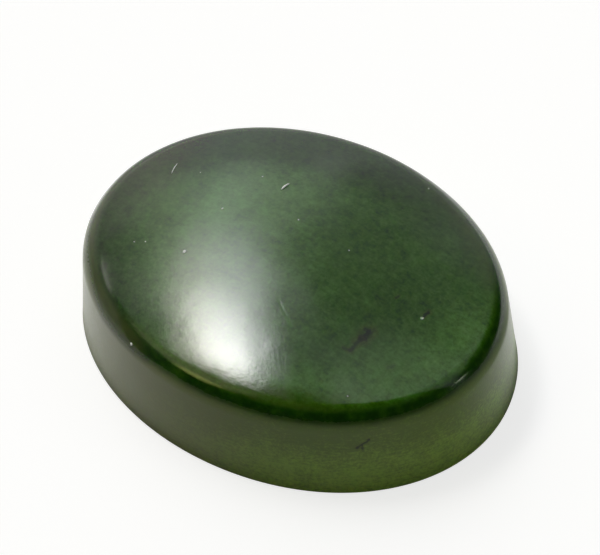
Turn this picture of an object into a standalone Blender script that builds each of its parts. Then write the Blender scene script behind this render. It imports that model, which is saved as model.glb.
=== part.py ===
"""Jade cabochon: one polished oval stone with a flat back, a low dome and a rolled shoulder.

The stone lies on its back. Metres, +Z up, long axis along X, and the origin is the centre of the
flat back. Run it with: blender --background --python part.py
"""

import math

import bmesh
import bpy
from mathutils import Vector

# Driving dimensions, in metres and degrees
LENGTH = 0.0200  # across the widest part of the oval, along X
WIDTH = 0.0159  # across the oval, along Y
HEIGHT = 0.0060  # from the flat back to the top of the dome
WALL_HEIGHT = 0.0037  # from the flat back to where the shoulder starts to roll over
WALL_DRAFT = 3.9  # how far the wall leans inward, in degrees from upright
SHOULDER_RADIUS = 0.0012  # of the rolled edge between wall and dome
BACK_BEVEL = 0.0001  # the narrow bevel ground round the flat back

# The outline was ground by hand: (swellings round the oval, height of each in metres, place of the
# first in degrees)
OUTLINE_SWELLINGS = ((3, 0.00005, -24.8), (4, 0.00002, 41.0))

# How finely the surface is divided
AROUND = 96
WALL_STEPS = 3
SHOULDER_STEPS = 9
DOME_STEPS = 9

JADE_GREEN = (0.040, 0.085, 0.030, 1.0)
POLISH_ROUGHNESS = 0.2

WALL_TILT = math.radians(90.0 - WALL_DRAFT)  # of the wall's outward normal, from straight up
TANGENCY_ROUNDS = 12


def clear_scene():
    """Removes whatever the file opened with."""
    for thing in list(bpy.data.objects):
        bpy.data.objects.remove(thing)


def outline_point(turn):
    """A point of the oval round the back, at an angle in radians, before the bevel."""
    swelling = sum(
        height * math.cos(count * (turn - math.radians(place)))
        for count, height, place in OUTLINE_SWELLINGS
    )
    stretch = 1.0 + swelling / (LENGTH / 2.0)
    return Vector((LENGTH / 2.0 * math.cos(turn), WIDTH / 2.0 * math.sin(turn), 0.0)) * stretch


def outline_normal(turn):
    """The level direction that points straight out of the oval at an angle."""
    step = 0.001
    along = outline_point(turn + step) - outline_point(turn - step)
    return Vector((along.y, -along.x, 0.0)).normalized()


def rolled_edge(tilt):
    """How far inside the outline, and how high, the surface is where its normal tilts by tilt."""
    inset = WALL_HEIGHT * math.tan(math.radians(WALL_DRAFT))
    inset += SHOULDER_RADIUS * (math.sin(WALL_TILT) - math.sin(tilt))
    height = WALL_HEIGHT + SHOULDER_RADIUS * (math.cos(tilt) - math.cos(WALL_TILT))
    return inset, height


def dome_edge_tilt(reach):
    """The tilt at which the shoulder runs into the dome with no crease.

    The dome is a paraboloid over rings that shrink towards the centre, so the slope at its edge
    is twice its rise over reach, the distance of the edge's tangent from the centre.
    """
    tilt = 0.0
    for _ in range(TANGENCY_ROUNDS):
        inset, height = rolled_edge(tilt)
        tilt = math.atan2(2.0 * (HEIGHT - height), reach - inset)
    return tilt


def section(turn):
    """The surface along one angle round the oval, from the centre of the back to the dome's top."""
    edge = outline_point(turn)
    outward = outline_normal(turn)
    points = [Vector((0.0, 0.0, 0.0)), edge - outward * BACK_BEVEL]

    lean = math.tan(math.radians(WALL_DRAFT))
    for step in range(WALL_STEPS):
        height = BACK_BEVEL + (WALL_HEIGHT - BACK_BEVEL) * step / WALL_STEPS
        points.append(edge - outward * height * lean + Vector((0.0, 0.0, height)))

    top_tilt = dome_edge_tilt(edge.dot(outward))
    for step in range(SHOULDER_STEPS + 1):
        tilt = WALL_TILT + (top_tilt - WALL_TILT) * step / SHOULDER_STEPS
        inset, height = rolled_edge(tilt)
        points.append(edge - outward * inset + Vector((0.0, 0.0, height)))

    dome_edge = points[-1]
    for step in range(1, DOME_STEPS + 1):
        share = 1.0 - step / DOME_STEPS
        height = HEIGHT - (HEIGHT - dome_edge.z) * share**2
        points.append(Vector((dome_edge.x * share, dome_edge.y * share, height)))
    return points


def cabochon_form():
    """The stone as a mesh: a globe whose meridians are drawn onto the stone's sections."""
    bands = len(section(0.0)) - 1
    form = bmesh.new()
    bmesh.ops.create_uvsphere(form, u_segments=AROUND, v_segments=bands, radius=1.0)
    for vertex in form.verts:
        turn = math.atan2(vertex.co.y, vertex.co.x)
        band = round(math.acos(max(-1.0, min(1.0, -vertex.co.z))) / math.pi * bands)
        vertex.co = section(turn)[band]
    return form


def trim_to_size(form):
    """Centres the stone on the origin and stretches it by a hair to its exact length and width."""
    for axis, size in ((0, LENGTH), (1, WIDTH)):
        low = min(vertex.co[axis] for vertex in form.verts)
        high = max(vertex.co[axis] for vertex in form.verts)
        for vertex in form.verts:
            vertex.co[axis] = (vertex.co[axis] - (low + high) / 2.0) * size / (high - low)


def jade_material():
    """Deep green nephrite with a soft polish."""
    material = bpy.data.materials.new("polished_jade")
    material.use_nodes = True
    shader = material.node_tree.nodes["Principled BSDF"]
    shader.inputs["Base Color"].default_value = JADE_GREEN
    shader.inputs["Roughness"].default_value = POLISH_ROUGHNESS
    shader.inputs["Metallic"].default_value = 0.0
    return material


def make_cabochon(collection):
    """The one piece: the stone, shaded smooth up to the bevel round its back."""
    form = cabochon_form()
    trim_to_size(form)
    mesh = bpy.data.meshes.new("cabochon")
    form.to_mesh(mesh)
    form.free()
    mesh.shade_smooth()
    mesh.set_sharp_from_angle(angle=math.radians(30.0))
    mesh.materials.append(jade_material())
    collection.objects.link(bpy.data.objects.new("cabochon", mesh))


def main():
    clear_scene()
    collection = bpy.data.collections.new("jade_cabochon")
    bpy.context.scene.collection.children.link(collection)
    make_cabochon(collection)


main()
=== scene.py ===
"""The looks of the jade cabochon: its dressed surface, the lint on it, the floor, light and camera.

Metres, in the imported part's frame: +Z up, long axis along X, origin at the centre of the flat back.
Places on the stone, and sizes not multiplied by MM, are in millimetres in that frame. Bearings are
in degrees, clockwise from straight away from the camera.
"""

import math
import random
from functools import lru_cache
from typing import NamedTuple

import bmesh
import bpy
from mathutils import Matrix, Vector, noise


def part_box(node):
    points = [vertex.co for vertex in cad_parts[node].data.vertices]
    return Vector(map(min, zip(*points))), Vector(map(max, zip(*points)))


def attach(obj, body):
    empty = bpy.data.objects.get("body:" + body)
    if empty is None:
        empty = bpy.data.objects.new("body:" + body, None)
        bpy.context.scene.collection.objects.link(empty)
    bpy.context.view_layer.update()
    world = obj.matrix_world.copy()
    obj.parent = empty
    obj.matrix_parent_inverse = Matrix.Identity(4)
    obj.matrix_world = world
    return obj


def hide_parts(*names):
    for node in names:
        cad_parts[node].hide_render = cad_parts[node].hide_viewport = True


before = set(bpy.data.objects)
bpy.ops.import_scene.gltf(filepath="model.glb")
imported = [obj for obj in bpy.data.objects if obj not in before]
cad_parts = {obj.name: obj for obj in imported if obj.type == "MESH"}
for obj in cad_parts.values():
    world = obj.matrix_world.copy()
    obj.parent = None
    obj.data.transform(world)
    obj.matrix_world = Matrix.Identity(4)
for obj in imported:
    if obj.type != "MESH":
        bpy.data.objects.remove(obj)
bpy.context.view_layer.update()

MM = 0.001
UP = Vector((0.0, 0.0, 1.0))
BLACK = (0, 0, 0, 1)

# The stone's form. Its size comes from the frame, and its edges are the CAD part's.
STONE_LOW, STONE_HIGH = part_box("cabochon")
LENGTH, WIDTH, HEIGHT = STONE_HIGH - STONE_LOW
WALL_HEIGHT = 3.7 * MM
WALL_DRAFT = math.radians(3.9)
WALL_TILT = math.pi / 2 - WALL_DRAFT
SHOULDER_RADIUS = 1.2 * MM
BACK_BEVEL = 0.1 * MM
# Slight swellings of the oval: how many go round it, their height, and the place of one
OUTLINE_SWELLINGS = ((3, 0.05 * MM, math.radians(-24.8)), (4, 0.02 * MM, math.radians(41.0)))

# The mesh: how many steps round the oval, and from the back's centre up to the dome's top
AROUND = 384
BEVEL_STEPS = 3
WALL_STEPS = 22
SHOULDER_STEPS = 36
DOME_STEPS = 70
BANDS = 1 + BEVEL_STEPS + WALL_STEPS + SHOULDER_STEPS + DOME_STEPS
# Half the step, in radians, over which the outline's normal is taken
NORMAL_STEP = 0.001
# How often the dome's edge is found again from the one before, which settles it
TANGENCY_ROUNDS = 12
# Angles are rounded to this many digits, so that one angle is worked out once
TURN_DIGITS = 9

# Hand polishing leaves shallow waves: their size, greatest depth, and place in the noise. They
# reach their full depth this far above the back.
POLISH_WAVES = (
    (2.2, 0.008 * MM, Vector((3.1, 7.7, 1.3))),
    (0.9, 0.0034 * MM, Vector((3.1, 7.7, 10.3))),
)
WAVES_FULL_HEIGHT = 1.0

# A hairline crack that reaches the dome. It wanders a little, deepens over the first part of its
# length, and has lost a share of its depth by its end.
HAIRLINE = (
    (1.02, -2.57),
    (1.30, -2.80),
    (1.58, -2.98),
    (1.98, -3.19),
    (2.56, -3.50),
    (3.16, -3.84),
)
HAIRLINE_HALF_WIDTH = 0.09
HAIRLINE_DEPTH = 0.0018 * MM
HAIRLINE_WANDER = 0.02
HAIRLINE_WANDERS_PER_MM = 6.0
HAIRLINE_DEEPENS = 0.125
HAIRLINE_FADES = 0.7

# A pit beside a dark grain
PIT = (6.49, 0.17)
PIT_RADIUS = 0.10
PIT_DEPTH = 0.03 * MM

# The mesh is finer near both, which lie in this part of the dome
DETAIL_X = (0.5, 7.5)
DETAIL_Y = (-4.5, 1.0)
REFINE_REACH = 0.25
REFINE_ROUNDS = 2


# ---------------------------------------------------------------- the stone's surface


def outline_point(turn):
    """A point of the oval round the back, at an angle in radians."""
    swelling = sum(
        height * math.cos(count * (turn - place)) for count, height, place in OUTLINE_SWELLINGS
    )
    oval = Vector((LENGTH / 2 * math.cos(turn), WIDTH / 2 * math.sin(turn), 0.0))
    return oval * (1.0 + swelling / (LENGTH / 2))


def outline_normal(turn):
    """The level direction that points straight out of the oval at an angle."""
    along = outline_point(turn + NORMAL_STEP) - outline_point(turn - NORMAL_STEP)
    return Vector((along.y, -along.x, 0.0)).normalized()


def rolled_edge(tilt):
    """How far inside the outline, and how high, the shoulder is where its normal has this tilt."""
    inset = WALL_HEIGHT * math.tan(WALL_DRAFT)
    inset += SHOULDER_RADIUS * (math.sin(WALL_TILT) - math.sin(tilt))
    height = WALL_HEIGHT + SHOULDER_RADIUS * (math.cos(tilt) - math.cos(WALL_TILT))
    return inset, height


def dome_edge_tilt(reach):
    """The tilt at which the shoulder runs into the dome with no crease."""
    tilt = 0.0
    for _ in range(TANGENCY_ROUNDS):
        inset, height = rolled_edge(tilt)
        tilt = math.atan2(2.0 * (HEIGHT - height), reach - inset)
    return tilt


@lru_cache(maxsize=None)
def side(turn):
    """One angle round the oval: the outline, its normal, and the dome edge's tilt and place."""
    edge = outline_point(turn)
    outward = outline_normal(turn)
    top_tilt = dome_edge_tilt(edge.dot(outward))
    inset, height = rolled_edge(top_tilt)
    return edge, outward, top_tilt, edge - outward * inset + UP * height


def surface_point(turn, band):
    """The surface at an angle round the oval; band runs from 0 at the back's centre to BANDS."""
    edge, outward, top_tilt, dome_edge = side(turn)
    bevel = band - 1
    wall = bevel - BEVEL_STEPS
    shoulder = wall - WALL_STEPS
    dome = shoulder - SHOULDER_STEPS
    if bevel <= 0:
        return (edge - outward * BACK_BEVEL) * band
    if dome > 0:
        share = 1.0 - dome / DOME_STEPS
        height = HEIGHT - (HEIGHT - dome_edge.z) * share**2
        return Vector((dome_edge.x * share, dome_edge.y * share, height))
    if wall <= 0:
        sweep = math.pi / 2 * bevel / BEVEL_STEPS
        inset = BACK_BEVEL * (1.0 - math.sin(sweep))
        height = BACK_BEVEL * (1.0 - math.cos(sweep))
    elif shoulder <= 0:
        height = BACK_BEVEL + (WALL_HEIGHT - BACK_BEVEL) * wall / WALL_STEPS
        inset = height * math.tan(WALL_DRAFT)
    else:
        inset, height = rolled_edge(WALL_TILT + (top_tilt - WALL_TILT) * shoulder / SHOULDER_STEPS)
    return edge - outward * inset + UP * height


def from_ball(place):
    """Where a point of a unit ball lies on the stone: longitude is turn and latitude is band."""
    turn = math.atan2(place.y, place.x)
    level = math.hypot(place.x, place.y)
    band = math.atan2(level, -place.z) / math.pi * BANDS
    return surface_point(round(turn, TURN_DIGITS), band)


def from_path(x, y, path):
    """The distance from a point to a path in plan, and how far along the path it is, 0 to 1."""
    nearest = (math.inf, 0.0)
    for index in range(len(path) - 1):
        (ax, ay), (bx, by) = path[index], path[index + 1]
        run = (bx - ax, by - ay)
        share = ((x - ax) * run[0] + (y - ay) * run[1]) / (run[0] ** 2 + run[1] ** 2)
        share = max(0.0, min(1.0, share))
        gap = math.hypot(x - ax - share * run[0], y - ay - share * run[1])
        nearest = min(nearest, (gap, (index + share) / (len(path) - 1)))
    return nearest


def from_pit(x, y):
    """The distance from a point to the pit's middle in plan."""
    return math.hypot(x - PIT[0], y - PIT[1])


def on_detail(place):
    """Whether a point of the surface is close to the hairline or the pit."""
    x, y = place.x / MM, place.y / MM
    on_top = place.z >= WALL_HEIGHT
    if not (on_top and DETAIL_X[0] < x < DETAIL_X[1] and DETAIL_Y[0] < y < DETAIL_Y[1]):
        return False
    return from_path(x, y, HAIRLINE)[0] < REFINE_REACH or from_pit(x, y) < REFINE_REACH


def trim_to_frame(form):
    """Centres the form and stretches it by a hair, so that it fills the CAD stone's box."""
    for axis, size in ((0, LENGTH), (1, WIDTH)):
        low = min(vertex.co[axis] for vertex in form.verts)
        high = max(vertex.co[axis] for vertex in form.verts)
        for vertex in form.verts:
            vertex.co[axis] = (vertex.co[axis] - (low + high) / 2) * size / (high - low)


def hairline_depth(place):
    """How deep the crack is at a place in mm."""
    gap, along = from_path(place.x, place.y, HAIRLINE)
    gap += HAIRLINE_WANDER * noise.noise(place * HAIRLINE_WANDERS_PER_MM)
    groove = max(0.0, 1.0 - gap / HAIRLINE_HALF_WIDTH)
    ends = (1.0 - HAIRLINE_FADES * along) * min(1.0, along / HAIRLINE_DEEPENS)
    return HAIRLINE_DEPTH * groove * ends


def wear(form):
    """Sinks the polishing waves, the hairline and the pit into the surface."""
    form.normal_update()
    moved = []
    for vertex in form.verts:
        place = vertex.co / MM
        depth = 0.0
        for size, deepest, noise_place in POLISH_WAVES:
            rise = noise.noise(place / size + noise_place)
            depth += deepest * (0.5 + 0.5 * rise)
        depth *= min(1.0, place.z / WAVES_FULL_HEIGHT)
        if on_detail(vertex.co):
            depth += hairline_depth(place)
            depth += PIT_DEPTH * max(0.0, 1.0 - (from_pit(place.x, place.y) / PIT_RADIUS) ** 2)
        moved.append(vertex.co - vertex.normal * depth)
    for vertex, place in zip(form.verts, moved):
        vertex.co = place


def make_object(name, form, smooth=True):
    """Turns a finished form into an object in the scene."""
    mesh = bpy.data.meshes.new(name)
    form.to_mesh(mesh)
    form.free()
    if smooth:
        mesh.shade_smooth()
    made = bpy.data.objects.new(name, mesh)
    bpy.context.scene.collection.objects.link(made)
    return made


def make_stone():
    """The dressed stone, which stands for the CAD node."""
    form = bmesh.new()
    bmesh.ops.create_uvsphere(form, u_segments=AROUND, v_segments=BANDS, radius=1.0)
    for _ in range(REFINE_ROUNDS):
        chosen = {vertex for vertex in form.verts if on_detail(from_ball(vertex.co))}
        edges = [edge for edge in form.edges if chosen.issuperset(edge.verts)]
        bmesh.ops.subdivide_edges(form, edges=edges, cuts=1, use_grid_fill=True)
    for vertex in form.verts:
        vertex.co = from_ball(vertex.co)
    trim_to_frame(form)
    wear(form)
    return make_object("cabochon_surface", form)


# ---------------------------------------------------------------- lint and dust

# Lint fibres: from, to, half width. They bow by a share of their length, lie half sunk, and are
# flattened and fine at their ends.
LINT = (
    ((-7.26, 0.98), (-7.43, 1.64), 0.024),
    ((-2.43, 2.43), (-2.37, 2.94), 0.056),
)
LINT_STEPS = 10
LINT_SIDES = 7
LINT_BOW = 0.03
LINT_END = 0.15
LINT_TAPER = 0.6
LINT_LIFT = 0.5
LINT_FLATNESS = 0.7

# Dust: place in plan, radius. Each speck is squeezed, flattened, a little sunk, and lumpy.
DUST = (
    (-3.94, -2.56, 0.090),
    (-3.91, 0.18, 0.050),
    (-3.56, -7.04, 0.070),
    (-6.14, 1.58, 0.034),
    (-3.62, 2.68, 0.032),
    (-5.85, -2.81, 0.032),
    (-6.31, -3.00, 0.030),
    (-0.73, 1.33, 0.035),
    (2.05, 1.15, 0.036),
    (6.09, -4.72, 0.032),
    (2.30, 6.59, 0.035),
)
DUST_SEED = 5
DUST_SUBDIVISIONS = 2
DUST_NARROWEST = 0.6
DUST_FLATNESS = 0.3
DUST_LIFT = 0.2
DUST_LUMPS = 0.35
DUST_LUMPS_PER_MM = 25.0


def surface_under(stone, x, y):
    """The point of the stone's surface at a place in plan in mm, and the normal there."""
    above_dome = Vector((x * MM, y * MM, HEIGHT + MM))
    found, place, normal, _ = stone.ray_cast(above_dome, -UP)
    if not found:
        raise ValueError(f"nothing of the stone lies under ({x}, {y})")
    return place, normal


def add_fibre(form, stone, start, end, half_width):
    """A short fibre that lies on the dome, thick in the middle and fine at its ends."""
    run_x, run_y = end[0] - start[0], end[1] - start[1]
    along = Vector((run_x, run_y, 0.0)).normalized()
    rings = []
    for step in range(LINT_STEPS + 1):
        share = step / LINT_STEPS
        swell = math.sin(math.pi * share)
        bow = LINT_BOW * swell
        x = start[0] + run_x * share - bow * run_y
        y = start[1] + run_y * share + bow * run_x
        place, normal = surface_under(stone, x, y)
        thick = half_width * MM * (LINT_END + (1.0 - LINT_END) * swell**LINT_TAPER)
        across = normal.cross(along).normalized()
        middle = place + normal * thick * LINT_LIFT
        ring = []
        for corner in range(LINT_SIDES):
            angle = 2 * math.pi * corner / LINT_SIDES
            spread = across * math.cos(angle) + normal * math.sin(angle) * LINT_FLATNESS
            ring.append(form.verts.new(middle + spread * thick))
        rings.append(ring)
    for first, second in zip(rings, rings[1:]):
        for corner in range(LINT_SIDES):
            after = (corner + 1) % LINT_SIDES
            form.faces.new((first[corner], first[after], second[after], second[corner]))
    form.faces.new(reversed(rings[0]))
    form.faces.new(rings[-1])


def add_speck(form, stone, draw, x, y, radius):
    """A lumpy speck of dust on the polish."""
    place, normal = surface_under(stone, x, y)
    upright = normal.to_track_quat("Z", "Y").to_matrix().to_4x4()
    narrow = DUST_NARROWEST + (1.0 - DUST_NARROWEST) * draw.random()
    squeeze = Matrix.Diagonal((1.0, narrow, DUST_FLATNESS, 1.0))
    spin = Matrix.Rotation(draw.uniform(0.0, math.pi), 4, "Z")
    lifted = Matrix.Translation(place + normal * radius * MM * DUST_LIFT)
    made = bmesh.ops.create_icosphere(
        form,
        subdivisions=DUST_SUBDIVISIONS,
        radius=radius * MM,
        matrix=lifted @ upright @ spin @ squeeze,
    )
    for vertex in made["verts"]:
        rough = noise.noise(vertex.co / MM * DUST_LUMPS_PER_MM)
        vertex.co += (vertex.co - place) * DUST_LUMPS * rough


def make_dust(stone):
    """The lint fibres and dust specks that lie on the polish, in one mesh."""
    draw = random.Random(DUST_SEED)
    form = bmesh.new()
    for fibre in LINT:
        add_fibre(form, stone, *fibre)
    for speck in DUST:
        add_speck(form, stone, draw, *speck)
    bmesh.ops.recalc_face_normals(form, faces=form.faces)
    return make_object("surface_dust", form)


# ---------------------------------------------------------------- shader building


def node(tree, kind, **settings):
    """A new shader node with its settings."""
    made = tree.nodes.new(kind)
    for name, value in settings.items():
        setattr(made, name, value)
    return made


def feed(tree, socket, value):
    """Links another node's output to a socket, or sets the socket to a plain value."""
    if isinstance(value, bpy.types.NodeSocket):
        tree.links.new(value, socket)
    else:
        socket.default_value = value


def new_material(name):
    """A new material, with its node tree and its shader."""
    material = bpy.data.materials.new(name)
    material.use_nodes = True
    return material, material.node_tree, material.node_tree.nodes["Principled BSDF"]


def maths(tree, operation, *operands):
    """A Math node's result."""
    made = node(tree, "ShaderNodeMath", operation=operation)
    for socket, value in zip(made.inputs, operands):
        feed(tree, socket, value)
    return made.outputs[0]


def vector_maths(tree, operation, *operands):
    """A Vector Math node's vector."""
    made = node(tree, "ShaderNodeVectorMath", operation=operation)
    for socket, value in zip(made.inputs, operands):
        feed(tree, socket, value)
    return made.outputs[0]


def dot(tree, vector, direction):
    """The dot product of a vector socket and a fixed direction."""
    made = node(tree, "ShaderNodeVectorMath", operation="DOT_PRODUCT")
    feed(tree, made.inputs[0], vector)
    made.inputs[1].default_value = direction
    return made.outputs["Value"]


def length(tree, vector):
    """The length of a vector."""
    made = node(tree, "ShaderNodeVectorMath", operation="LENGTH")
    feed(tree, made.inputs[0], vector)
    return made.outputs["Value"]


def ramp(tree, value, start, end, low=0.0, high=1.0):
    """Goes smoothly from low to high as value goes from start to end. Start may be above end."""
    flip = start > end
    made = node(tree, "ShaderNodeMapRange", interpolation_type="SMOOTHSTEP")
    feed(tree, made.inputs["Value"], value)
    made.inputs["From Min"].default_value = end if flip else start
    made.inputs["From Max"].default_value = start if flip else end
    made.inputs["To Min"].default_value = high if flip else low
    made.inputs["To Max"].default_value = low if flip else high
    return made.outputs["Result"]


def even_ramp(tree, value, start, end):
    """Goes evenly from 0 to 1 as value goes from start to end."""
    made = node(tree, "ShaderNodeMapRange")
    feed(tree, made.inputs["Value"], value)
    made.inputs["From Min"].default_value = start
    made.inputs["From Max"].default_value = end
    return made.outputs["Result"]


def plateau(tree, value, middle, full, none):
    """1 within full of the middle, falling to 0 at none from it."""
    gap = maths(tree, "ABSOLUTE", maths(tree, "SUBTRACT", value, middle))
    return ramp(tree, gap, none, full)


def product(tree, *factors):
    """The product of several values."""
    result = factors[0]
    for factor in factors[1:]:
        result = maths(tree, "MULTIPLY", result, factor)
    return result


def total(tree, *terms):
    """The sum of several values."""
    result = terms[0]
    for term in terms[1:]:
        result = maths(tree, "ADD", result, term)
    return result


def weighted(tree, *pairs):
    """The sum of several values, each times its weight."""
    return total(tree, *(product(tree, value, weight) for value, weight in pairs))


def less(tree, share, loss):
    """1 where share is 0, and less by loss where share is 1."""
    return maths(tree, "MULTIPLY_ADD", share, -loss, 1.0)


def blend_colour(tree, share, first, second, mode="MIX"):
    """Mixes two colours."""
    made = node(tree, "ShaderNodeMix", data_type="RGBA", blend_type=mode)
    feed(tree, made.inputs["Factor"], share)
    sockets = [socket for socket in made.inputs if socket.type == "RGBA"]
    feed(tree, sockets[0], first)
    feed(tree, sockets[1], second)
    return [socket for socket in made.outputs if socket.type == "RGBA"][0]


def blend_value(tree, share, first, second):
    """Mixes two values."""
    made = node(tree, "ShaderNodeMix", data_type="FLOAT")
    sockets = (made.inputs[0], made.inputs[2], made.inputs[3])
    for socket, value in zip(sockets, (share, first, second)):
        feed(tree, socket, value)
    return made.outputs[0]


def grain(tree, place, size, detail, rough, offset, fineness=(1, 1, 1)):
    """Noise from -1 to 1, with features of about size mm, drawn out where fineness is under 1."""
    scaled = vector_maths(tree, "MULTIPLY", place, tuple(part / size for part in fineness))
    made = node(tree, "ShaderNodeTexNoise", noise_dimensions="4D")
    feed(tree, made.inputs["Vector"], scaled)
    made.inputs["W"].default_value = offset
    made.inputs["Scale"].default_value = 1.0
    made.inputs["Detail"].default_value = detail
    made.inputs["Roughness"].default_value = rough
    return maths(tree, "MULTIPLY_ADD", made.outputs[0], 2.0, -1.0)


def object_place(tree):
    """The place on the object, in mm."""
    metres = node(tree, "ShaderNodeTexCoord").outputs["Object"]
    return vector_maths(tree, "MULTIPLY", metres, (1 / MM,) * 3)


# ---------------------------------------------------------------- directions

# The viewing direction, seen from the stone, and what the camera is aimed at
CAMERA_AZIMUTH = math.radians(39.2)
CAMERA_ELEVATION = math.radians(50.0)
CAMERA_ROLL = math.radians(4.6)
CAMERA_DISTANCE = 350.0 * MM
CAMERA_LENS = 489.7
CAMERA_CLIP = (10.0 * MM, 10000.0 * MM)
AIM_HEIGHT = 2.0 * MM
AIM_RIGHT = 0.046 * MM
AIM_UP = 1.223 * MM

# The level directions to the right of the view and away from the camera
RIGHTWARD = Vector((math.cos(CAMERA_AZIMUTH), math.sin(CAMERA_AZIMUTH), 0.0))
AWAY = Vector((-math.sin(CAMERA_AZIMUTH), math.cos(CAMERA_AZIMUTH), 0.0))


def studio_direction(bearing, elevation):
    """A direction given by its bearing and its height above the horizon, in degrees."""
    bearing, elevation = math.radians(bearing), math.radians(elevation)
    level = RIGHTWARD * math.sin(bearing) + AWAY * math.cos(bearing)
    return level * math.cos(elevation) + UP * math.sin(elevation)


def in_direction(tree, place, bearing, unit):
    """How far a place lies in the direction of a bearing, in a unit given in mm."""
    return dot(tree, place, studio_direction(bearing, 0) / unit)


# ---------------------------------------------------------------- jade

JADE_IOR = 1.61
SCATTER_COLOURS = (0.5, 1.0, 0.2)
SCATTER_REACH = 1.2 * MM

# Textures: feature size, detail, roughness, a place in the noise of its own, and fineness
CLOUD = (3.2, 3.0, 0.55, 0.0)
MOTTLE = (0.75, 4.0, 0.6, 3.0)
FLECK = (0.27, 2.0, 0.6, 16.0)
FELT = (0.13, 3.0, 0.65, 5.0)
FIBRE = (0.16, 3.0, 0.6, 8.0, (0.35, 1.0, 1.0))
SPECKLE = (0.09, 1.0, 0.5, 12.0)
SHOULDER_FLECK = (0.5, 4.0, 0.65, 20.0)
GRINDING_LINE = (0.07, 2.0, 0.6, 30.0, (0.12, 0.12, 1.0))
RAGGED = (0.28, 3.0, 0.6, 40.0)
UNEVEN = (0.9, 1.0, 0.5, 50.0)

# Level directions across the stone: bearing, and the length in mm that counts as 1
TO_FAR = (-12, 8.0)
TO_FAR_RIGHT = (20.4, 8.0)
TO_RIGHT = (72, 10.0)
TO_LEFT = (-90, 9.0)
TO_FAR_LEFT = (-74.5, 9.0)

# The half lengths of the oval on which the place "rim" is 1, a little inside the foot
RIM_RADII = (9.6, 7.6)


class Zone(NamedTuple):
    """A zone by the rim. It starts and is full at two places outwards, and at two across."""

    outwards: tuple  # where the rim is 1
    direction: tuple  # one of the directions above
    across: tuple  # in that direction


# The dome's green, by how much green it has: all over, in a pale lobe left of the middle (its
# middle line and half width) and along the near edge. Both are painted glow: the lobe where the
# key light shines into the stone under the highlight, the near edge where light comes through it.
# The other rims take a share of it away, as painted shade.
DOME_GREEN = (0.028, 0.104, 0.005, 1)
PALE_GREEN = (0.066, 0.215, 0.014, 1)
GREEN_ALL_OVER = 0.099
GLOW_LOBE = ((-3.34, -0.09, 0.0), (-1.59, -4.34, 0.0), 5.95)
LOBE_GLOW = 0.076
NEAR_EDGE = Zone((0.62, 0.90), TO_FAR, (-0.35, -0.75))
NEAR_EDGE_GLOW = 0.092
FAR_RIM = Zone((0.49, 0.71), TO_FAR_RIGHT, (0.0, 0.75))
FAR_RIM_SHADE = 0.49
LEFT_RIM = Zone((0.62, 1.12), TO_FAR_LEFT, (0.362, 0.71))
LEFT_RIM_SHADE = 0.598
RIM_SHADE_FALL = (0.70, 1.0, 1.0, 0.84)
RIGHT_RIM = Zone((0.78, 0.92), TO_RIGHT, (0.62, 0.85))
RIGHT_RIM_BROWN = 0.7
RIM_BROWN = (0.058, 0.088, 0.012, 1)

# The dome's hue goes from yellower in the middle to bluer on the left
HUE_TURNS = (0.0, 0.6)
YELLOWER = (1.14, 1, 1, 1)
BLUER = (0.86, 1, 1.4, 1)

# How much each texture varies the dome's green, and the colour that they add or take
DOME_CLOUD = 0.40
DOME_MOTTLE = 0.58
DOME_FLECK = 0.46
DOME_FELT = 0.60
DOME_FIBRE = 0.46
CLOUD_GREEN = (0.46, 1.0, 0.28)
DEEPEST_GREEN = (0.003, 0.010, 0.001)

# The shoulder's dark green, partly painted shade on the rolled edge, starts and is full at these
# heights, with paler flecks, brown on the left, and a faint brown line above it on the near side
SHOULDER_HEIGHTS = (4.75, 4.50)
SHADED_EDGE_GREEN = (0.009, 0.047, 0.0025, 1)
EDGE_PALE = (0.030, 0.096, 0.004, 1)
EDGE_FLECKS = (-0.15, 0.55)
LEFT_BROWN = (0.054, 0.080, 0.015, 1)
LEFT_BROWN_STARTS = (0.70, 0.80)
EDGE_BROWN = (0.052, 0.084, 0.008, 1)
BROWN_LOW = (4.52, 4.66)
BROWN_HIGH = (4.98, 4.80)
BROWN_NEAR = (-0.30, -0.60)
BROWN_LEFT = (-0.45, 0.15)
BROWN_MOTTLE = (-0.4, 0.4, 0.35, 0.8)

# The satin wall's upper edge: its height, how far it drops on the left, and rises on the right
# and at the left end, how uneven it is, and how much softer it gets at the left end
SATIN_EDGE = 4.27
SATIN_DROP_LEFT = (0.68, 0.82, 0.0, 0.29)
SATIN_RISE_RIGHT = (0.72, 0.86, 0.0, -0.25)
SATIN_RISE_LEFT_END = (0.93, 0.98, 0.0, -0.35)
SATIN_UNEVEN = 0.05
SATIN_SOFTER_LEFT_END = (0.85, 0.93, 1.0, 0.5)
# Where its colour and its roughness start and are full, in mm above that edge
SATIN_COLOUR_STARTS = (0.10, -0.32)
SATIN_ROUGHNESS_STARTS = (0.30, -0.10)

# The wall's olive, from deep to pale by its tone, and tawny on the left
DEEP_OLIVE = (0.098, 0.155, 0.014, 1)
PALE_OLIVE = (0.200, 0.330, 0.030, 1)
TAWNY = (0.125, 0.142, 0.020, 1)
TAWNY_LEFT = (0.0, 0.9, 0.0, 0.9)
WALL_TONE = 0.5
WALL_CLOUD = 0.35
WALL_MOTTLE = 0.38
WALL_FELT = 0.90
WALL_LINES = 0.50
# Painted light and shade: paler at the foot, lit by the floor, deeper higher up, and deeper on the
# right, away from the light
WALL_SHADE_UP = (1.2, 3.9, 0.10, -0.50)
WALL_SHADE_RIGHT = (0.35, 0.75, 0.0, -0.16)

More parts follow.
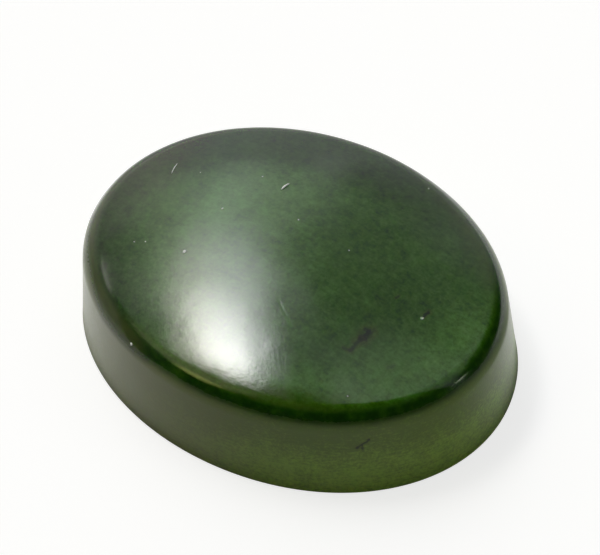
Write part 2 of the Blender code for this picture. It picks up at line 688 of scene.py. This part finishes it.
# Dark grains in the jade: two ends, half width, strength. Each has a ragged core and halo, which
# start and are full at these distances, in half widths.
GRAINS = (
    ((5.15, -1.80, 5.50), (5.08, -2.22, 5.47), 0.19, 0.95),
    ((5.06, -2.30, 5.45), (5.02, -2.95, 5.39), 0.10, 0.75),
    ((5.00, -3.02, 5.39), (4.66, -3.03, 5.43), 0.06, 0.55),
    ((6.54, 0.56, 5.31), (6.50, 0.34, 5.33), 0.08, 0.90),
    ((7.02, -5.52, 2.84), (7.42, -5.16, 3.26), 0.06, 0.75),
    ((7.22, -5.42, 3.10), (7.20, -5.36, 2.72), 0.05, 0.60),
    ((6.78, -2.66, 5.11), (6.88, -2.50, 5.11), 0.10, 0.35),
    ((5.08, 0.32, 5.59), (5.12, 0.46, 5.59), 0.05, 0.55),
    ((0.30, 5.60, 5.28), (0.42, 5.75, 5.25), 0.06, 0.40),
)
GRAPHITE = (0.006, 0.014, 0.005, 1)
GRAIN_CORE = (1.5, 0.35)
RUST = (0.060, 0.075, 0.006, 1)
GRAIN_HALO = (3.0, 1.0)
HALO_SHARE = 0.35
GRAIN_RAGGED = 1.3
GRAIN_FELT = 0.7

# A painted highlight in the pit, white where its rim catches the light, and the hairline's paler
# part, partly its own paler colour and partly a painted highlight along its edge
PIT_HIGHLIGHT_WHITE = (0.62, 0.66, 0.60, 1)
PIT_MIDDLE = (PIT[0], PIT[1], 5.33)
PIT_HIGHLIGHT_REACH = (0.085, 0.04, 0.0, 0.8)
PALE_LIT_CRACK = ((1.3, -2.8, 5.76), (2.3, -3.4, 5.62), 0.07)
CRACK_FELT = 0.5
CRACK_SHOWS = (1.8, 0.4, 0.0, 0.40)

# Roughness, and how much the textures vary it
POLISH = 0.085
POLISH_MOTTLE = 0.045
POLISH_FELT = 0.02
SATIN = 0.33
SATIN_MOTTLE = 0.04
SATIN_SPECKLE = 0.06

# Relief too fine for the mesh, in mm
DOME_FELT_RELIEF = 0.0012
DOME_MOTTLE_RELIEF = 0.0020
WALL_SPECKLE_RELIEF = 0.0030
WALL_LINES_RELIEF = 0.0020


def near_line(tree, place, start, end, half_width):
    """0 on a line between two places, 1 at half_width from it, in mm."""
    start, end = Vector(start), Vector(end)
    run = end - start
    from_start = vector_maths(tree, "SUBTRACT", place, tuple(start))
    share = maths(tree, "DIVIDE", dot(tree, from_start, run), run.length_squared)
    share.node.use_clamp = True
    scaled = node(tree, "ShaderNodeVectorMath", operation="SCALE")
    scaled.inputs[0].default_value = run
    feed(tree, scaled.inputs["Scale"], share)
    gap = length(tree, vector_maths(tree, "SUBTRACT", from_start, scaled.outputs[0]))
    return maths(tree, "DIVIDE", gap, half_width)


class StoneSockets:
    """What the jade's colour, roughness and relief are worked out from."""

    def __init__(self, tree):
        self.place = object_place(tree)
        self.height = dot(tree, self.place, UP)
        self.rim = length(
            tree, vector_maths(tree, "MULTIPLY", self.place, (1 / RIM_RADII[0], 1 / RIM_RADII[1], 0))
        )
        self.far = in_direction(tree, self.place, *TO_FAR)
        self.left = in_direction(tree, self.place, *TO_LEFT)
        self.right = in_direction(tree, self.place, *TO_RIGHT)
        self.cloud = grain(tree, self.place, *CLOUD)
        self.mottle = grain(tree, self.place, *MOTTLE)
        self.fleck = grain(tree, self.place, *FLECK)
        self.felt = grain(tree, self.place, *FELT)
        self.fibre = grain(tree, self.place, *FIBRE)
        self.speckle = grain(tree, self.place, *SPECKLE)
        self.lines = grain(tree, self.place, *GRINDING_LINE)

    def zone(self, tree, zone):
        """1 inside a zone by the rim, 0 outside."""
        across = in_direction(tree, self.place, *zone.direction)
        return product(tree, ramp(tree, self.rim, *zone.outwards), ramp(tree, across, *zone.across))


def dome_colour(tree, at):
    """The dome's green, clouded, mottled and felted, with painted glow and painted shade from side to
    side.
    """
    level_place = vector_maths(tree, "MULTIPLY", at.place, (1, 1, 0))
    from_glow_lobe = near_line(tree, level_place, *GLOW_LOBE)
    green = product(
        tree,
        total(
            tree,
            GREEN_ALL_OVER,
            # painted glow: the pale lobe under the highlight, and the near edge
            ramp(tree, from_glow_lobe, 1.0, 0.0, 0.0, LOBE_GLOW),
            product(tree, at.zone(tree, NEAR_EDGE), NEAR_EDGE_GLOW),
        ),
        # painted shade: less green at the far and left rims and towards the rim
        less(tree, at.zone(tree, FAR_RIM), FAR_RIM_SHADE),
        less(tree, at.zone(tree, LEFT_RIM), LEFT_RIM_SHADE),
        ramp(tree, at.rim, *RIM_SHADE_FALL),
    )
    colour = blend_colour(tree, even_ramp(tree, green, 0.0, DOME_GREEN[1]), BLACK, DOME_GREEN)
    to_pale = even_ramp(tree, green, DOME_GREEN[1], PALE_GREEN[1])
    colour = blend_colour(tree, to_pale, colour, PALE_GREEN)
    tint = blend_colour(tree, ramp(tree, at.left, *HUE_TURNS), YELLOWER, BLUER)
    colour = blend_colour(tree, 1.0, colour, tint, "MULTIPLY")
    texture = weighted(
        tree,
        (at.cloud, DOME_CLOUD),
        (at.mottle, DOME_MOTTLE),
        (at.fleck, DOME_FLECK),
        (at.felt, DOME_FELT),
        (at.fibre, DOME_FIBRE),
    )
    texture = product(tree, texture, green)
    colour = vector_maths(tree, "MULTIPLY_ADD", texture, CLOUD_GREEN, colour)
    colour = vector_maths(tree, "MAXIMUM", colour, DEEPEST_GREEN)
    browned = product(tree, at.zone(tree, RIGHT_RIM), RIGHT_RIM_BROWN)
    return blend_colour(tree, browned, colour, RIM_BROWN)


def add_shoulder(tree, at, colour):
    """Lays the shoulder's dark green, partly painted shade, its flecks and its browns over the dome's
    colour.
    """
    flecks = ramp(tree, grain(tree, at.place, *SHOULDER_FLECK), *EDGE_FLECKS)
    edge = blend_colour(tree, flecks, SHADED_EDGE_GREEN, EDGE_PALE)
    edge = blend_colour(tree, ramp(tree, at.left, *LEFT_BROWN_STARTS), edge, LEFT_BROWN)
    # the shoulder's dark green, partly painted shade
    colour = blend_colour(tree, ramp(tree, at.height, *SHOULDER_HEIGHTS), colour, edge)
    brown = product(
        tree,
        ramp(tree, at.height, *BROWN_LOW),
        ramp(tree, at.height, *BROWN_HIGH),
        ramp(tree, at.far, *BROWN_NEAR),
        ramp(tree, at.left, *BROWN_LEFT),
        ramp(tree, at.mottle, *BROWN_MOTTLE),
    )
    return blend_colour(tree, brown, colour, EDGE_BROWN)


def height_over_satin(tree, at):
    """The height above the satin wall's edge, in mm."""
    height = total(
        tree,
        at.height,
        -SATIN_EDGE,
        ramp(tree, at.left, *SATIN_DROP_LEFT),
        ramp(tree, at.right, *SATIN_RISE_RIGHT),
        ramp(tree, at.left, *SATIN_RISE_LEFT_END),
        product(tree, grain(tree, at.place, *UNEVEN), SATIN_UNEVEN),
    )
    return product(tree, height, ramp(tree, at.left, *SATIN_SOFTER_LEFT_END))


def wall_colour(tree, at):
    """The ground wall: olive, speckled, with faint level grinding lines, and painted light and shade
    by height and side.
    """
    tone = total(
        tree,
        WALL_TONE,
        weighted(
            tree,
            (at.cloud, WALL_CLOUD),
            (at.mottle, WALL_MOTTLE),
            (at.felt, WALL_FELT),
            (at.lines, WALL_LINES),
        ),
        # painted light at the foot, painted shade higher up and on the right
        ramp(tree, at.height, *WALL_SHADE_UP),
        ramp(tree, at.right, *WALL_SHADE_RIGHT),
    )
    olive = blend_colour(tree, ramp(tree, tone, 0.0, 1.0), DEEP_OLIVE, PALE_OLIVE)
    return blend_colour(tree, ramp(tree, at.left, *TAWNY_LEFT), olive, TAWNY)


def add_grains(tree, at, colour):
    """Lays the dark grains and their rusty halos, the pit's painted highlight and the pale crack,
    partly a painted highlight, over it.
    """
    ragged = grain(tree, at.place, *RAGGED)
    warp = weighted(tree, (ragged, GRAIN_RAGGED), (at.felt, GRAIN_FELT))
    for start, end, half_width, strength in GRAINS:
        gap = total(tree, near_line(tree, at.place, start, end, half_width), warp)
        halo = ramp(tree, gap, *GRAIN_HALO, 0.0, HALO_SHARE * strength)
        core = ramp(tree, gap, *GRAIN_CORE, 0.0, strength)
        colour = blend_colour(tree, halo, colour, RUST)
        colour = blend_colour(tree, core, colour, GRAPHITE)
    # the painted highlight in the pit
    pit = length(tree, vector_maths(tree, "SUBTRACT", at.place, PIT_MIDDLE))
    colour = blend_colour(tree, ramp(tree, pit, *PIT_HIGHLIGHT_REACH), colour, PIT_HIGHLIGHT_WHITE)
    # the crack's pale line: partly its own paler colour, partly a painted highlight on its edge
    crack = near_line(tree, at.place, *PALE_LIT_CRACK)
    crack = total(tree, crack, product(tree, at.felt, CRACK_FELT))
    return blend_colour(tree, ramp(tree, crack, *CRACK_SHOWS), colour, PALE_GREEN)


def jade_material():
    """Nephrite: a polished dome over a satin wall, clouded, with a few dark grains."""
    material, tree, shader = new_material("polished_jade")
    shader.inputs["IOR"].default_value = JADE_IOR
    shader.inputs["Metallic"].default_value = 0.0
    shader.inputs["Subsurface Weight"].default_value = 1.0
    shader.inputs["Subsurface Radius"].default_value = SCATTER_COLOURS
    shader.inputs["Subsurface Scale"].default_value = SCATTER_REACH

    at = StoneSockets(tree)
    over_satin = height_over_satin(tree, at)
    ground = ramp(tree, over_satin, *SATIN_COLOUR_STARTS)
    ground_rough = ramp(tree, over_satin, *SATIN_ROUGHNESS_STARTS)

    colour = add_shoulder(tree, at, dome_colour(tree, at))
    colour = blend_colour(tree, ground, colour, wall_colour(tree, at))
    feed(tree, shader.inputs["Base Color"], add_grains(tree, at, colour))

    polish = weighted(tree, (at.mottle, POLISH_MOTTLE), (at.felt, POLISH_FELT))
    satin = weighted(tree, (at.mottle, SATIN_MOTTLE), (at.speckle, SATIN_SPECKLE))
    polish = total(tree, polish, POLISH)
    satin = total(tree, satin, SATIN)
    feed(tree, shader.inputs["Roughness"], blend_value(tree, ground_rough, polish, satin))

    dome_relief = weighted(tree, (at.felt, DOME_FELT_RELIEF), (at.mottle, DOME_MOTTLE_RELIEF))
    wall_relief = weighted(tree, (at.speckle, WALL_SPECKLE_RELIEF), (at.lines, WALL_LINES_RELIEF))
    bump = node(tree, "ShaderNodeBump")
    bump.inputs["Strength"].default_value = 1.0
    bump.inputs["Distance"].default_value = MM
    feed(tree, bump.inputs["Height"], blend_value(tree, ground, dome_relief, wall_relief))
    feed(tree, shader.inputs["Normal"], bump.outputs[0])
    return material


# The lint and dust: from grey to white, in a fine texture
DUST_TEXTURE = (0.05, 2.0, 0.5, 0.0)
DUST_TONES = (-0.5, 0.5)
DUST_GREY = (0.90, 0.92, 0.88, 1)
DUST_WHITE = (0.97, 0.98, 0.96, 1)
DUST_ROUGHNESS = 0.85
DUST_SPECULAR = 0.3


def dust_material():
    """Pale matt lint and dust."""
    material, tree, shader = new_material("pale_dust")
    shader.inputs["Roughness"].default_value = DUST_ROUGHNESS
    shader.inputs["Specular IOR Level"].default_value = DUST_SPECULAR
    tone = ramp(tree, grain(tree, object_place(tree), *DUST_TEXTURE), *DUST_TONES)
    feed(tree, shader.inputs["Base Color"], blend_colour(tree, tone, DUST_GREY, DUST_WHITE))
    return material


# ---------------------------------------------------------------- light

# The ceiling is a level plane one unit above the stone, with x to the right and y away. A
# direction lower than this counts as this high on it.
LOWEST_UP = 0.05


class Panel(NamedTuple):
    """A part of the soft strip on the ceiling."""

    middle: float  # its x where y is 0
    lean: float  # how far it moves in x for each unit of y
    half_width: float
    soft: float  # how far its sides fade to either side of the half width
    far: float  # the y of its far end
    soft_far: float
    near_lean: float  # how far the near edge comes nearer for each unit of x
    near_start: float  # the y where the near edge starts, and is full, where x is 0
    near_full: float
    strength: float


KEY_PANELS = (
    Panel(-0.365, 0.07, 0.07, 0.05, 0.36, 0.28, 0.53, -0.05, -0.02, 14.0),
    Panel(-0.40, 0.19, 0.133, 0.085, 0.42, 0.85, 0.42, -0.035, 0.11, 11.7),
    Panel(-0.46, 0.20, 0.165, 0.25, 1.73, 1.09, 0.34, 0.12, 0.37, 2.04),
)

# The soft surround's own light, and what makes it lighter or darker. Round patches: bearing,
# elevation, radius where it is full and where it ends, in degrees; strength
SURROUND = 0.51
SURROUND_SPOTS = (
    (60, 75, 5, 18, 0.27),
    (21, 63, 2, 18, -0.20),
    (32.5, 14, 2, 45, -0.42),
    (-8, 83.5, 1, 3.5, 0.30),
    (16.5, 24, 2, 9, -0.15),
    (31, 34, 3, 9, 0.12),
)
# A glow behind the stone: a patch, and how its strength grows as directions get lower
BACK_GLOW = (-4, 15, 20, 58)
BACK_GLOW_GROWS = (0.8, 0.29, 0.0, 0.55)
# Darker on the left
LEFT_FALL = (-0.186, -0.536, 0.0, -0.20)
# Soft ridges on the ceiling: lean; x of the middle, half width where full and where it ends; the
# y where it starts and is full; the y where it ends and is full; strength
SURROUND_RIDGES = (
    (0.22, (-0.155, 0.03, 0.17), (0.9, 1.2), (3.5, 2.6), 0.24),
    (0.20, (-0.82, 0.03, 0.18), (1.0, 1.3), (2.2, 1.7), 0.28),
)
# Dark corners of the ceiling: where they start and are full, in y and in x; strength
SURROUND_CORNERS = (
    ((0.7, 0.35), (-0.45, -0.55), -0.25),
    ((0.35, 0.1), (0.0, 0.2), -0.19),
)
# Small patches on the ceiling: x, half width where full and where it ends; the same in y; strength
SURROUND_PATCHES = (
    ((-0.08, 0.02, 0.11), (0.56, 0.06, 0.22), 0.45),
    ((-0.227, 0.01, 0.045), (0.265, 0.01, 0.08), 1.9),
    ((-0.33, 0.01, 0.045), (0.145, 0.005, 0.035), 2.2),
)
# The surround is lit beyond its near edge (how the edge leans, where it starts and is full), and
# on the left (where that starts and is full, away and to the right), but not behind the flag
SURROUND_NEAR_LEAN = 0.55
SURROUND_NEAR = (-0.025, 0.035)
LEFT_LIT_AWAY = (-0.30, 0.0)
LEFT_LIT_RIGHT = (-0.45, -0.75)
RIGHT_FLAG = (82, 16, 22, 38)

# A bright streak on the left: its near and far side in x, its y, and its strength
STREAK_RIGHT = (-0.66, -0.72)
STREAK_LEFT = (-1.30, -0.95)
STREAK_Y = (0.80, 0.08, 0.18)
STREAK = 1.15

# The light is warmer on the left and cooler on the right
CAST_TURNS = (-0.50, -0.15)
WARM_CAST = (1.05, 1.0, 0.93, 1)
COOL_CAST = (0.975, 1.0, 1.03, 1)


class Strip(NamedTuple):
    """A short level strip of light."""

    bearing: float
    level: float  # how high the direction is, as its z
    up_down: tuple  # how far above and below it the light starts and is full
    sideways: tuple
    colour: tuple


STRIP_AHEAD = (0.0, 0.1)
WARM_STRIP = Strip(-104.4, 0.715, (0.11, 0.04), (0.125, 0.04), (1.65, 1.65, 0.5, 1))
LAMP = Strip(110, 0.43, (0.045, 0.015), (0.080, 0.005), (6.8, 7.8, 5.8, 1))
# A soft glow round the warm strip
WARM_GLOW = (-85, 56, 5, 20)
WARM_GLOW_COLOUR = (0.75, 0.75, 0.42, 1)

# What the camera itself sees behind the floor
BACKDROP = (0.9, 0.9, 0.9, 1)


class Sky:
    """The directions that the stone sees, and shapes of light drawn on them."""

    def __init__(self, tree):
        self.tree = tree
        self.direction = node(tree, "ShaderNodeTexCoord").outputs["Generated"]
        self.right = dot(tree, self.direction, RIGHTWARD)
        self.away = dot(tree, self.direction, AWAY)
        self.up = dot(tree, self.direction, UP)
        up = maths(tree, "MAXIMUM", self.up, LOWEST_UP)
        self.ceiling_x = maths(tree, "DIVIDE", self.right, up)
        self.ceiling_y = maths(tree, "DIVIDE", self.away, up)

    def leaning_y(self, lean):
        """The ceiling's y, as an edge that leans sees it."""
        return maths(self.tree, "MULTIPLY_ADD", self.ceiling_x, lean, self.ceiling_y)

    def leaning_x(self, lean):
        """The ceiling's x, as a strip that leans sees it."""
        return total(self.tree, self.ceiling_x, product(self.tree, self.ceiling_y, -lean))

    def panel(self, panel):
        """A panel's light."""
        tree = self.tree
        aside = maths(tree, "ABSOLUTE", total(tree, self.leaning_x(panel.lean), -panel.middle))
        near = self.leaning_y(panel.near_lean)
        return product(
            tree,
            ramp(tree, aside, panel.half_width + panel.soft, panel.half_width - panel.soft),
            ramp(tree, near, panel.near_start, panel.near_full),
            ramp(
                tree,
                self.ceiling_y,
                panel.far + panel.soft_far,
                panel.far - panel.soft_far,
                0.0,
                panel.strength,
            ),
        )

    def spot(self, bearing, elevation, full, none):
        """1 near a direction, falling to 0 further out; angles in degrees."""
        toward = dot(self.tree, self.direction, studio_direction(bearing, elevation))
        return ramp(
            self.tree, toward, math.cos(math.radians(none)), math.cos(math.radians(full))
        )

    def strip(self, strip):
        """A strip's coloured light."""
        tree = self.tree
        sideways = dot(tree, self.direction, studio_direction(strip.bearing + 90, 0))
        ahead = dot(tree, self.direction, studio_direction(strip.bearing, 0))
        up_down = maths(tree, "SUBTRACT", self.up, strip.level)
        share = product(
            tree,
            ramp(tree, maths(tree, "ABSOLUTE", up_down), *strip.up_down),
            ramp(tree, maths(tree, "ABSOLUTE", sideways), *strip.sideways),
            ramp(tree, ahead, *STRIP_AHEAD),
        )
        return blend_colour(tree, share, BLACK, strip.colour)


def surround_light(tree, sky):
    """The soft light from all round, with its lighter and darker places."""
    x, y = sky.ceiling_x, sky.ceiling_y
    parts = [
        SURROUND,
        product(tree, ramp(tree, sky.up, *BACK_GLOW_GROWS), sky.spot(*BACK_GLOW)),
        ramp(tree, sky.right, *LEFT_FALL),
    ]
    for *spot, strength in SURROUND_SPOTS:
        parts.append(product(tree, sky.spot(*spot), strength))
    for lean, across, starts, ends, strength in SURROUND_RIDGES:
        ridge = plateau(tree, sky.leaning_x(lean), *across)
        parts.append(
            product(tree, ridge, ramp(tree, y, *starts, 0.0, strength), ramp(tree, y, *ends))
        )
    for in_y, in_x, strength in SURROUND_CORNERS:
        parts.append(product(tree, ramp(tree, y, *in_y, 0.0, strength), ramp(tree, x, *in_x)))
    for in_x, in_y, strength in SURROUND_PATCHES:
        parts.append(product(tree, plateau(tree, x, *in_x), plateau(tree, y, *in_y), strength))
    lit_far = ramp(tree, sky.leaning_y(SURROUND_NEAR_LEAN), *SURROUND_NEAR)
    lit_left = product(
        tree, ramp(tree, sky.away, *LEFT_LIT_AWAY), ramp(tree, sky.right, *LEFT_LIT_RIGHT)
    )
    lit = maths(tree, "MAXIMUM", lit_far, lit_left)
    return product(tree, total(tree, *parts), lit, less(tree, sky.spot(*RIGHT_FLAG), 1.0))


def studio_world():
    """Soft studio light on the stone, and a plain pale backdrop for the camera."""
    world = bpy.data.worlds.new("studio")
    bpy.context.scene.world = world
    world.use_nodes = True
    tree = world.node_tree
    tree.nodes.clear()
    sky = Sky(tree)

    streak = product(
        tree,
        ramp(tree, sky.ceiling_x, *STREAK_RIGHT),
        ramp(tree, sky.ceiling_x, *STREAK_LEFT),
        plateau(tree, sky.ceiling_y, *STREAK_Y),
        STREAK,
    )
    panels = (sky.panel(panel) for panel in KEY_PANELS)
    light = total(tree, surround_light(tree, sky), *panels, streak)
    grey = node(tree, "ShaderNodeCombineColor")
    for socket in grey.inputs:
        tree.links.new(light, socket)
    cast = blend_colour(tree, ramp(tree, sky.ceiling_x, *CAST_TURNS), WARM_CAST, COOL_CAST)
    lit = blend_colour(tree, 1.0, grey.outputs[0], cast, "MULTIPLY")
    glow = blend_colour(tree, sky.spot(*WARM_GLOW), BLACK, WARM_GLOW_COLOUR)
    for coloured in (sky.strip(WARM_STRIP), glow, sky.strip(LAMP)):
        lit = blend_colour(tree, 1.0, lit, coloured, "ADD")

    paths = node(tree, "ShaderNodeLightPath")
    seen = blend_colour(tree, paths.outputs["Is Camera Ray"], lit, BACKDROP)
    background = node(tree, "ShaderNodeBackground")
    feed(tree, background.inputs["Color"], seen)
    output = node(tree, "ShaderNodeOutputWorld")
    tree.links.new(background.outputs[0], output.inputs["Surface"])


# ---------------------------------------------------------------- floor

FLOOR_HALF_SIZE = 600.0 * MM
FLOOR_GAP = 0.002 * MM
FLOOR_GREY = (0.38, 0.38, 0.38, 1.0)
FLOOR_ROUGHNESS = 0.8
FLOOR_SPECULAR = 0.2

# The floor shines a little, as lit paper does. To the camera it is even. The distance from the
# stone is 1 on the oval with these half lengths, about at its foot.
SEEN_GLOW = 0.75
FOOT_RADII = (10.0, 8.0)
FOOT = (0.98, 1.04)

# Its sides, by how far to the right or left the bearing is
RIGHT_SIDE = (0.2, 0.8)
LEFT_SIDE = (-0.2, -0.8)

# To the polish it is bright paper, brighter far away: on the left, with a lift all over and one
# close to the stone, and less light beyond; and on the right, fading outwards
LEFT_PAPER = (-1.0, 1.3, 0.13, 1.15)
LEFT_LIFT = 0.05
NEAR_LEFT_LIFT = 0.50
NEAR_LEFT = (1.6, 1.02)
LEFT_BEYOND = (1.8, 3.0)
LEFT_BEYOND_LOSS = 0.6
RIGHT_PAPER = (-0.85, 0.1, 0.10, 1.20)
RIGHT_FADES = (1.3, 1.9, 1.0, 0.6)

# It is darker in the contact shadow, which is tighter on both sides, in a patch beyond the bright
# ring on the right (outwards, away in mm, and to the right), and straight behind
CONTACT = (-0.03, 0.25, 0.30, 1.0)
CONTACT_TIGHTER_RIGHT = 1.6
CONTACT_TIGHTER_LEFT = 2.0
RIGHT_BEYOND = (1.16, 1.36)
RIGHT_BEYOND_AWAY = (3.5, 0.5)
RIGHT_BEYOND_SIDE = (0.3, 0.7)
RIGHT_BEYOND_LOSS = 0.8
BEHIND = (0.78, 0.93, 1.0, 0.3)

# To soft light it is brighter on the right and away from the stone
SOFT_ASIDE = (-0.8, 0.8, 0.30, 0.70)
SOFT_OUTWARDS = (1.0, 1.4, 0.5, 1.0)


def floor_glow(tree):
    """How strongly the floor shines, for the camera, for soft light and for reflections."""
    place = node(tree, "ShaderNodeTexCoord").outputs["Object"]
    heading = node(tree, "ShaderNodeVectorMath", operation="NORMALIZE")
    feed(tree, heading.inputs[0], place)
    away = dot(tree, heading.outputs[0], AWAY)
    aside = dot(tree, heading.outputs[0], RIGHTWARD)
    foot_scale = (1 / (FOOT_RADII[0] * MM), 1 / (FOOT_RADII[1] * MM), 0)
    distance = length(tree, vector_maths(tree, "MULTIPLY", place, foot_scale))
    outside = ramp(tree, distance, *FOOT)
    right_side = ramp(tree, aside, *RIGHT_SIDE)
    left_side = ramp(tree, aside, *LEFT_SIDE)

    lift = total(
        tree,
        1.0,
        product(tree, left_side, LEFT_LIFT),
        product(tree, left_side, ramp(tree, distance, *NEAR_LEFT), NEAR_LEFT_LIFT),
    )
    left_beyond = product(tree, left_side, ramp(tree, distance, *LEFT_BEYOND))
    left_paper = product(
        tree, ramp(tree, away, *LEFT_PAPER), lift, less(tree, left_beyond, LEFT_BEYOND_LOSS)
    )
    right_paper = product(
        tree, ramp(tree, away, *RIGHT_PAPER), ramp(tree, distance, *RIGHT_FADES)
    )
    tighter = total(
        tree,
        1.0,
        product(tree, right_side, CONTACT_TIGHTER_RIGHT),
        product(tree, left_side, CONTACT_TIGHTER_LEFT),
    )
    from_foot = product(tree, total(tree, distance, -1.0), tighter)
    right_beyond = product(
        tree,
        ramp(tree, distance, *RIGHT_BEYOND),
        ramp(tree, dot(tree, place, AWAY / MM), *RIGHT_BEYOND_AWAY),
        ramp(tree, aside, *RIGHT_BEYOND_SIDE),
    )
    reflected = product(
        tree,
        blend_value(tree, right_side, left_paper, right_paper),
        ramp(tree, from_foot, *CONTACT),
        outside,
        less(tree, right_beyond, RIGHT_BEYOND_LOSS),
        ramp(tree, away, *BEHIND),
    )
    soft = product(
        tree, ramp(tree, aside, *SOFT_ASIDE), ramp(tree, distance, *SOFT_OUTWARDS), outside
    )
    paths = node(tree, "ShaderNodeLightPath")
    unseen = blend_value(tree, paths.outputs["Is Diffuse Ray"], reflected, soft)
    return blend_value(tree, paths.outputs["Is Camera Ray"], unseen, SEEN_GLOW)


def make_floor():
    """A plain pale floor under the stone."""
    form = bmesh.new()
    bmesh.ops.create_grid(form, x_segments=1, y_segments=1, size=FLOOR_HALF_SIZE)
    bmesh.ops.translate(form, verts=form.verts, vec=UP * -FLOOR_GAP)
    floor = make_object("studio_floor", form, smooth=False)
    material, tree, shader = new_material("pale_floor")
    shader.inputs["Base Color"].default_value = FLOOR_GREY
    shader.inputs["Roughness"].default_value = FLOOR_ROUGHNESS
    shader.inputs["Specular IOR Level"].default_value = FLOOR_SPECULAR
    shader.inputs["Emission Color"].default_value = (1.0, 1.0, 1.0, 1.0)
    feed(tree, shader.inputs["Emission Strength"], floor_glow(tree))
    floor.data.materials.append(material)


# ---------------------------------------------------------------- camera


def make_camera():
    """A long lens that looks down on the stone at the photograph's angle."""
    level_back = -AWAY * math.cos(CAMERA_ELEVATION)
    back = level_back + UP * math.sin(CAMERA_ELEVATION)
    level_up = back.cross(RIGHTWARD)
    right = RIGHTWARD * math.cos(CAMERA_ROLL) - level_up * math.sin(CAMERA_ROLL)
    up = RIGHTWARD * math.sin(CAMERA_ROLL) + level_up * math.cos(CAMERA_ROLL)
    aim = UP * AIM_HEIGHT + right * AIM_RIGHT + up * AIM_UP
    data = bpy.data.cameras.new("camera")
    data.lens = CAMERA_LENS
    data.clip_start, data.clip_end = CAMERA_CLIP
    camera = bpy.data.objects.new("camera", data)
    bpy.context.scene.collection.objects.link(camera)
    turned = Matrix((right, up, back)).transposed().to_4x4()
    camera.matrix_world = Matrix.Translation(aim + back * CAMERA_DISTANCE) @ turned
    bpy.context.scene.camera = camera


make_camera()
studio_world()
make_floor()
stone = make_stone()
stone.data.materials.append(jade_material())
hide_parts("cabochon")
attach(stone, "root")
bpy.context.view_layer.update()
dust = make_dust(stone)
dust.data.materials.append(dust_material())
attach(dust, "root")
bpy.context.scene.view_settings.view_transform = "Standard"
